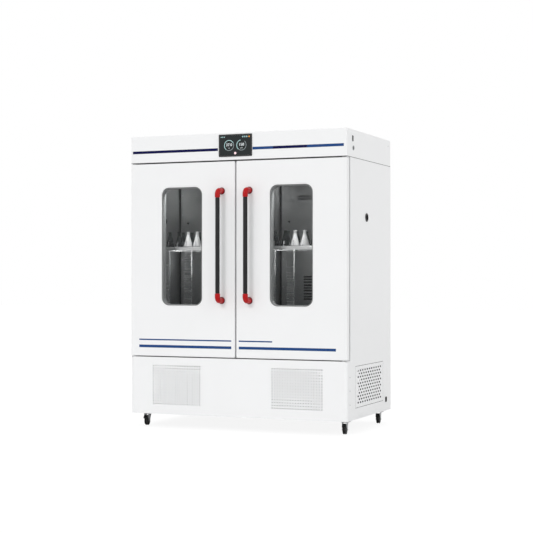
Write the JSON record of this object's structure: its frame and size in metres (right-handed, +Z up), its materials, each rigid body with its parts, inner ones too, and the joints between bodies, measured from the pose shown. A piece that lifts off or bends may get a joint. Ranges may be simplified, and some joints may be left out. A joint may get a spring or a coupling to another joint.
{
  "type": "shaking incubator",
  "caption": "Floor-standing shaking incubator: windowed double doors with bar handles, orbital flask racks in the chambers, a touch screen in the header and swivel casters under the base.",
  "frame": {"origin": "on the floor, under the middle of the whole with its handles", "axes": "+X to the right of someone facing the doors, +Y to the rear, +Z up"},
  "size_m": [1.5075, 0.9714, 1.9],
  "materials": {
    "white_paint": "smooth powder coat",
    "grey_paint": "textured powder coat",
    "dark_steel": "black enamel",
    "stainless": "brushed",
    "zinc": "zinc plated",
    "black_plastic": "moulded",
    "liner_plastic": "satin",
    "foam": "rigid foam",
    "red_plastic": "gloss",
    "black_rubber": "matte",
    "tinted_glass": "tinted",
    "clear_glass": "clear",
    "screen_glass": "gloss"
  },
  "bodies": {
    "cabinet": {"base_frame": "grey_paint", "base_front_panel": "white_paint", "left_side_panel": "white_paint", "right_side_panel": "white_paint", "left_side_grille": "white_paint", "right_side_grille": "white_paint", "back_panel": "white_paint", "header_cover": "white_paint", "insulation": "foam", "door_frame": "white_paint", "left_chamber_liner": "stainless", "right_chamber_liner": "stainless", "left_duct_panel": "stainless", "right_duct_panel": "stainless", "left_drive_housing": "grey_paint", "right_drive_housing": "grey_paint", "display_bezel": "black_plastic", "display_glass": "screen_glass", "switch_frame": "black_plastic", "power_inlet": "black_plastic", "compressor": "dark_steel", "condenser": "zinc"},
    "power_rocker": {"power_rocker": "black_plastic"},
    "condenser_fan": {"condenser_fan": "black_plastic"},
    "left_door": {"left_door_shell": "white_paint", "left_door_liner": "liner_plastic", "left_door_gasket": "black_rubber", "left_window_glass": "tinted_glass", "left_upper_handle_elbow": "red_plastic", "left_lower_handle_elbow": "red_plastic", "left_handle_grip": "black_rubber"},
    "right_door": {"right_door_shell": "white_paint", "right_door_liner": "liner_plastic", "right_door_gasket": "black_rubber", "right_window_glass": "tinted_glass", "right_upper_handle_elbow": "red_plastic", "right_lower_handle_elbow": "red_plastic", "right_handle_grip": "black_rubber"},
    "left_circulation_fan": {"left_circulation_fan": "black_plastic"},
    "left_drive_crank": {"left_drive_crank": "zinc"},
    "left_idler_crank": {"left_idler_crank": "zinc"},
    "left_rack": {"left_rack": "stainless", "left_clamped_flasks": "clear_glass"},
    "right_circulation_fan": {"right_circulation_fan": "black_plastic"},
    "right_drive_crank": {"right_drive_crank": "zinc"},
    "right_idler_crank": {"right_idler_crank": "zinc"},
    "right_rack": {"right_rack": "stainless", "right_clamped_flasks": "clear_glass"},
    "front_left_caster": {"front_left_caster_fork": "zinc"},
    "front_left_wheel": {"front_left_caster_wheel": "black_rubber"},
    "front_left_pedal": {"front_left_brake_pedal": "black_plastic"},
    "front_right_caster": {"front_right_caster_fork": "zinc"},
    "front_right_wheel": {"front_right_caster_wheel": "black_rubber"},
    "front_right_pedal": {"front_right_brake_pedal": "black_plastic"},
    "rear_left_caster": {"rear_left_caster_fork": "zinc"},
    "rear_left_wheel": {"rear_left_caster_wheel": "black_rubber"},
    "rear_left_pedal": {"rear_left_brake_pedal": "black_plastic"},
    "rear_right_caster": {"rear_right_caster_fork": "zinc"},
    "rear_right_wheel": {"rear_right_caster_wheel": "black_rubber"},
    "rear_right_pedal": {"rear_right_brake_pedal": "black_plastic"}
  },
  "joints": [
    {"name": "left_door_hinge", "type": "hinge", "parent": "cabinet", "child": "left_door", "pos_m": [-0.736, -0.382, 0.466], "axis": [0, 0, -1], "range_deg": [0, 110]},
    {"name": "right_door_hinge", "type": "hinge", "parent": "cabinet", "child": "right_door", "pos_m": [0.736, -0.382, 0.466], "axis": [0, 0, 1], "range_deg": [0, 110]},
    {"name": "left_circulation_fan_spin", "type": "hinge", "parent": "cabinet", "child": "left_circulation_fan", "pos_m": [-0.3775, 0.3097, 1.39], "axis": [0, 1, 0], "continuous": true},
    {"name": "left_drive_spin", "type": "hinge", "parent": "cabinet", "child": "left_drive_crank", "pos_m": [-0.3775, -0.088, 0.7153], "axis": [0, 0, 1], "continuous": true},
    {"name": "left_idler_spin", "type": "hinge", "parent": "cabinet", "child": "left_idler_crank", "pos_m": [-0.2275, -0.088, 0.7153], "axis": [0, 0, 1], "continuous": true},
    {"name": "left_rack_pivot", "type": "hinge", "parent": "left_drive_crank", "child": "left_rack", "pos_m": [-0.3775, -0.075, 0.7293], "axis": [0, 0, 1], "continuous": true},
    {"name": "right_circulation_fan_spin", "type": "hinge", "parent": "cabinet", "child": "right_circulation_fan", "pos_m": [0.3775, 0.3097, 1.39], "axis": [0, 1, 0], "continuous": true},
    {"name": "right_drive_spin", "type": "hinge", "parent": "cabinet", "child": "right_drive_crank", "pos_m": [0.3775, -0.088, 0.7153], "axis": [0, 0, 1], "continuous": true},
    {"name": "right_idler_spin", "type": "hinge", "parent": "cabinet", "child": "right_idler_crank", "pos_m": [0.5275, -0.088, 0.7153], "axis": [0, 0, 1], "continuous": true},
    {"name": "right_rack_pivot", "type": "hinge", "parent": "right_drive_crank", "child": "right_rack", "pos_m": [0.3775, -0.075, 0.7293], "axis": [0, 0, 1], "continuous": true},
    {"name": "condenser_fan_spin", "type": "hinge", "parent": "cabinet", "child": "condenser_fan", "pos_m": [-0.43, -0.2233, 0.2473], "axis": [0, 1, 0], "continuous": true},
    {"name": "power_rocker_press", "type": "hinge", "parent": "cabinet", "child": "power_rocker", "pos_m": [0.748, -0.297, 1.8425], "axis": [0, 1, 0], "range_deg": [0, 16]},
    {"name": "front_left_swivel", "type": "hinge", "parent": "cabinet", "child": "front_left_caster", "pos_m": [-0.692, -0.272, 0.087], "axis": [0, 0, 1], "continuous": true},
    {"name": "front_left_roll", "type": "hinge", "parent": "front_left_caster", "child": "front_left_wheel", "pos_m": [-0.69033, -0.28791, 0.02963], "axis": [-0.9945, -0.1045, 0], "continuous": true},
    {"name": "front_left_brake", "type": "hinge", "parent": "front_left_caster", "child": "front_left_pedal", "pos_m": [-0.68897, -0.30084, 0.0662], "axis": [0.9945, 0.1045, 0], "range_deg": [0, 12]},
    {"name": "front_right_swivel", "type": "hinge", "parent": "cabinet", "child": "front_right_caster", "pos_m": [0.692, -0.272, 0.087], "axis": [0, 0, 1], "continuous": true},
    {"name": "front_right_roll", "type": "hinge", "parent": "front_right_caster", "child": "front_right_wheel", "pos_m": [0.6945, -0.2878, 0.02963], "axis": [-0.9877, -0.1564, 0], "continuous": true},
    {"name": "front_right_brake", "type": "hinge", "parent": "front_right_caster", "child": "front_right_pedal", "pos_m": [0.69654, -0.30064, 0.0662], "axis": [0.9877, 0.1564, 0], "range_deg": [0, 12]},
    {"name": "rear_left_swivel", "type": "hinge", "parent": "cabinet", "child": "rear_left_caster", "pos_m": [-0.692, 0.408, 0.087], "axis": [0, 0, 1], "continuous": true},
    {"name": "rear_left_roll", "type": "hinge", "parent": "rear_left_caster", "child": "rear_left_wheel", "pos_m": [-0.69116, 0.39202, 0.02963], "axis": [-0.9986, -0.0523, 0], "continuous": true},
    {"name": "rear_left_brake", "type": "hinge", "parent": "rear_left_caster", "child": "rear_left_pedal", "pos_m": [-0.69048, 0.37904, 0.0662], "axis": [0.9986, 0.0523, 0], "range_deg": [0, 12]},
    {"name": "rear_right_swivel", "type": "hinge", "parent": "cabinet", "child": "rear_right_caster", "pos_m": [0.692, 0.408, 0.087], "axis": [0, 0, 1], "continuous": true},
    {"name": "rear_right_roll", "type": "hinge", "parent": "rear_right_caster", "child": "rear_right_wheel", "pos_m": [0.69423, 0.39216, 0.02963], "axis": [-0.9903, -0.1392, 0], "continuous": true},
    {"name": "rear_right_brake", "type": "hinge", "parent": "rear_right_caster", "child": "rear_right_pedal", "pos_m": [0.69604, 0.37928, 0.0662], "axis": [0.9903, 0.1392, 0], "range_deg": [0, 12]}
  ],
  "couplings": [
    {"joint": "left_idler_spin", "follows": "left_drive_spin", "ratio": 1},
    {"joint": "left_rack_pivot", "follows": "left_drive_spin", "ratio": -1},
    {"joint": "right_idler_spin", "follows": "right_drive_spin", "ratio": 1},
    {"joint": "right_rack_pivot", "follows": "right_drive_spin", "ratio": -1}
  ]
}
